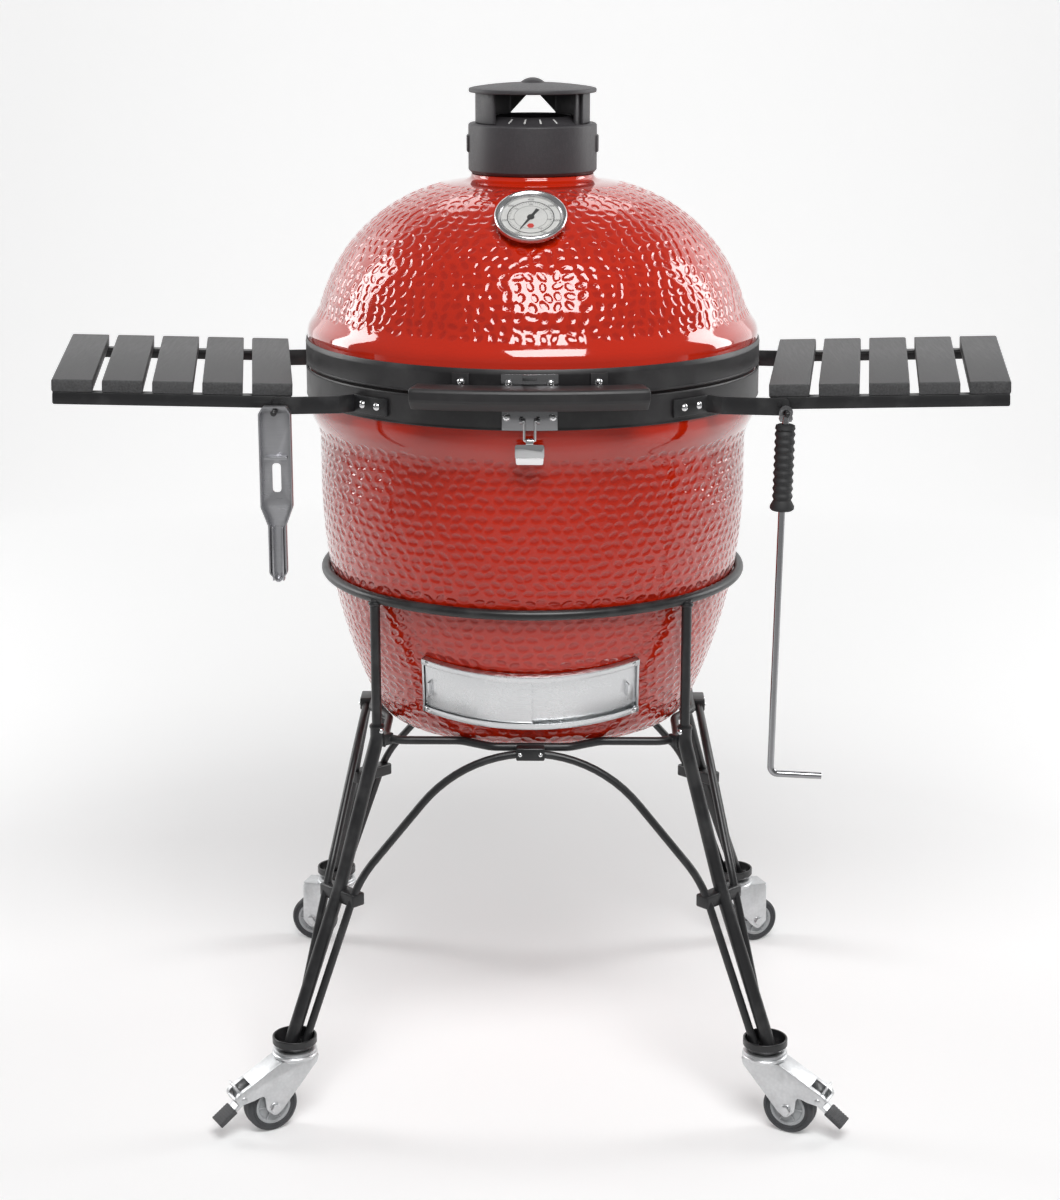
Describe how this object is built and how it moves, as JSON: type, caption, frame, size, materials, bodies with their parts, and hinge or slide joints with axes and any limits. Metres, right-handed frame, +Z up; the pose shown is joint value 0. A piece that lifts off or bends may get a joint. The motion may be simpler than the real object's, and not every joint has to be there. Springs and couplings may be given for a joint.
{
  "type": "kamado ceramic grill on a wheeled cart",
  "caption": "Egg-shaped ceramic charcoal grill with hinged lid and top vent, in a round-bar cart on casters with folding slatted side shelves.",
  "frame": {"origin": "on the floor plane below the axis of the ceramic bowl, which is the middle of the footprint", "axes": "+Z up along the bowl's axis; -Y towards the front with the draft door and handle; +X towards the right shelf as seen from the front"},
  "size_m": [1.1686, 0.6886, 1.22],
  "materials": {
    "cart_black": "satin black powder coat on round steel bar",
    "bolt_steel": "bright domed bolt heads",
    "red_glaze": "deep red high-gloss glaze with a dimpled surface",
    "felt": "dark woven gasket",
    "firebrick": "unglazed buff fire clay",
    "iron": "raw sand-cast",
    "grate_steel": "satin stainless rod",
    "band_black": "semi-matt dark powder coat",
    "spring_steel": "plain spring wire",
    "latch_steel": "polished stainless sheet",
    "handle_black": "fine-textured black",
    "draft_steel": "brushed stainless sheet",
    "vent_black": "dark matt coated casting",
    "bezel": "spun stainless case",
    "dial_white": "white printed dial with plain numbers",
    "dial_glass": "clear",
    "needle_paint": "flat black",
    "slat_dark": "charcoal-stained grained board",
    "grip_rubber": "ribbed black rubber",
    "zinc": "zinc-plated pressed steel",
    "hub_grey": "grey moulded nylon",
    "tyre_rubber": "dark grey tread",
    "pedal_black": "ribbed black pad"
  },
  "bodies": {
    "cart": {"cart_ring": "cart_black", "cradle_hoop": "cart_black", "leg_tubes": "cart_black", "leg_arches": "cart_black", "caster_cups": "cart_black", "cart_clamps": "cart_black", "cart_bolts": "bolt_steel", "ceramic_base": "red_glaze", "base_gasket": "felt", "firebox": "firebrick", "fire_ring": "firebrick", "coal_grate": "iron", "grate_rack": "grate_steel", "cooking_grate_left": "grate_steel", "cooking_grate_right": "grate_steel", "base_band": "band_black", "base_band_bolts": "bolt_steel", "hinge_base": "band_black", "hinge_spring": "spring_steel", "latch_plate": "latch_steel", "draft_frame": "draft_steel", "shelf_arms": "band_black"},
    "lid": {"ceramic_dome": "red_glaze", "lid_gasket": "felt", "lid_band": "band_black", "lid_band_bolts": "bolt_steel", "lid_handle": "handle_black", "latch_catch": "latch_steel", "hinge_lid": "band_black", "thermometer_case": "bezel", "thermometer_dial": "dial_white", "thermometer_glass": "dial_glass", "vent_collar": "vent_black"},
    "vent_cap": {"vent_cap": "vent_black"},
    "thermometer_needle": {"thermometer_needle": "needle_paint"},
    "latch_bail": {"latch_bail": "spring_steel"},
    "latch_tab": {"latch_tab": "band_black"},
    "draft_door_left": {"draft_door_left": "draft_steel"},
    "draft_door_right": {"draft_door_right": "draft_steel"},
    "shelf_left": {"shelf_slats_left": "slat_dark", "shelf_rails_left": "band_black"},
    "shelf_right": {"shelf_slats_right": "slat_dark", "shelf_rails_right": "band_black"},
    "grate_gripper": {"grate_gripper": "latch_steel"},
    "ash_tool": {"ash_tool_rod": "latch_steel", "ash_tool_grip": "grip_rubber"},
    "fork_front_left": {"fork_front_left": "zinc"},
    "wheel_front_left": {"hub_front_left": "hub_grey", "tyre_front_left": "tyre_rubber"},
    "brake_front_left": {"brake_front_left": "pedal_black"},
    "fork_front_right": {"fork_front_right": "zinc"},
    "wheel_front_right": {"hub_front_right": "hub_grey", "tyre_front_right": "tyre_rubber"},
    "brake_front_right": {"brake_front_right": "pedal_black"},
    "fork_rear_left": {"fork_rear_left": "zinc"},
    "wheel_rear_left": {"hub_rear_left": "hub_grey", "tyre_rear_left": "tyre_rubber"},
    "fork_rear_right": {"fork_rear_right": "zinc"},
    "wheel_rear_right": {"hub_rear_right": "hub_grey", "tyre_rear_right": "tyre_rubber"}
  },
  "joints": [
    {"name": "lid_hinge", "type": "hinge", "parent": "cart", "child": "lid", "pos_m": [0, 0.323, 0.866], "axis": [-1, 0, 0], "range_deg": [0, 75]},
    {"name": "cap_turn", "type": "hinge", "parent": "lid", "child": "vent_cap", "pos_m": [0, 0, 1.167], "axis": [0, 0, 1], "range_deg": [-10, 80]},
    {"name": "needle_turn", "type": "hinge", "parent": "lid", "child": "thermometer_needle", "pos_m": [0, -0.1812, 1.07265], "axis": [0, 0.5878, -0.809], "range_deg": [0, 240]},
    {"name": "bail_swing", "type": "hinge", "parent": "cart", "child": "latch_bail", "pos_m": [0, -0.2846, 0.858], "axis": [-1, 0, 0], "range_deg": [0, 80]},
    {"name": "tab_swing", "type": "hinge", "parent": "latch_bail", "child": "latch_tab", "pos_m": [0, -0.2846, 0.835], "axis": [-1, 0, 0], "range_deg": [-20, 80]},
    {"name": "draft_left_slide", "type": "hinge", "parent": "cart", "child": "draft_door_left", "pos_m": [0, 0, 0.59461], "axis": [0, -0.3458, 0.9383], "range_deg": [0, 27]},
    {"name": "draft_right_slide", "type": "hinge", "parent": "cart", "child": "draft_door_right", "pos_m": [0, 0, 0.59461], "axis": [0, -0.3458, 0.9383], "range_deg": [-27, 0]},
    {"name": "shelf_fold_left", "type": "hinge", "parent": "cart", "child": "shelf_left", "pos_m": [-0.30575, -0.03835, 0.86518], "axis": [0.1219, -0.9925, 0], "range_deg": [0, 88]},
    {"name": "shelf_fold_right", "type": "hinge", "parent": "cart", "child": "shelf_right", "pos_m": [0.30575, -0.03835, 0.86518], "axis": [0.1219, 0.9925, 0], "range_deg": [0, 88]},
    {"name": "grate_gripper_swing", "type": "hinge", "parent": "cart", "child": "grate_gripper", "pos_m": [-0.29143, -0.22571, 0.8575], "axis": [0, 1, 0], "range_deg": [-12, 12]},
    {"name": "ash_tool_swing", "type": "hinge", "parent": "cart", "child": "ash_tool", "pos_m": [0.29143, -0.22571, 0.8575], "axis": [0, 1, 0], "range_deg": [-12, 12]},
    {"name": "swivel_front_left", "type": "hinge", "parent": "cart", "child": "fork_front_left", "pos_m": [-0.281, -0.281, 0.0882], "axis": [0, 0, 1], "continuous": true},
    {"name": "roll_front_left", "type": "hinge", "parent": "fork_front_left", "child": "wheel_front_left", "pos_m": [-0.31045, -0.298, 0.0315], "axis": [0.5, -0.866, 0], "continuous": true},
    {"name": "brake_rock_front_left", "type": "hinge", "parent": "fork_front_left", "child": "brake_front_left", "pos_m": [-0.34422, -0.3175, 0.051], "axis": [0.5, -0.866, 0], "range_deg": [0, 12]},
    {"name": "swivel_front_right", "type": "hinge", "parent": "cart", "child": "fork_front_right", "pos_m": [0.281, -0.281, 0.0882], "axis": [0, 0, 1], "continuous": true},
    {"name": "roll_front_right", "type": "hinge", "parent": "fork_front_right", "child": "wheel_front_right", "pos_m": [0.31156, -0.2959, 0.0315], "axis": [0.4384, 0.8988, 0], "continuous": true},
    {"name": "brake_rock_front_right", "type": "hinge", "parent": "fork_front_right", "child": "brake_front_right", "pos_m": [0.34661, -0.313, 0.051], "axis": [0.4384, 0.8988, 0], "range_deg": [0, 12]},
    {"name": "swivel_rear_left", "type": "hinge", "parent": "cart", "child": "fork_rear_left", "pos_m": [-0.281, 0.281, 0.0882], "axis": [0, 0, 1], "continuous": true},
    {"name": "roll_rear_left", "type": "hinge", "parent": "fork_rear_left", "child": "wheel_rear_left", "pos_m": [-0.31368, 0.29037, 0.0315], "axis": [-0.2756, -0.9613, 0], "continuous": true},
    {"name": "swivel_rear_right", "type": "hinge", "parent": "cart", "child": "fork_rear_right", "pos_m": [0.281, 0.281, 0.0882], "axis": [0, 0, 1], "continuous": true},
    {"name": "roll_rear_right", "type": "hinge", "parent": "fork_rear_right", "child": "wheel_rear_right", "pos_m": [0.31252, 0.29374, 0.0315], "axis": [-0.3746, 0.9272, 0], "continuous": true}
  ]
}
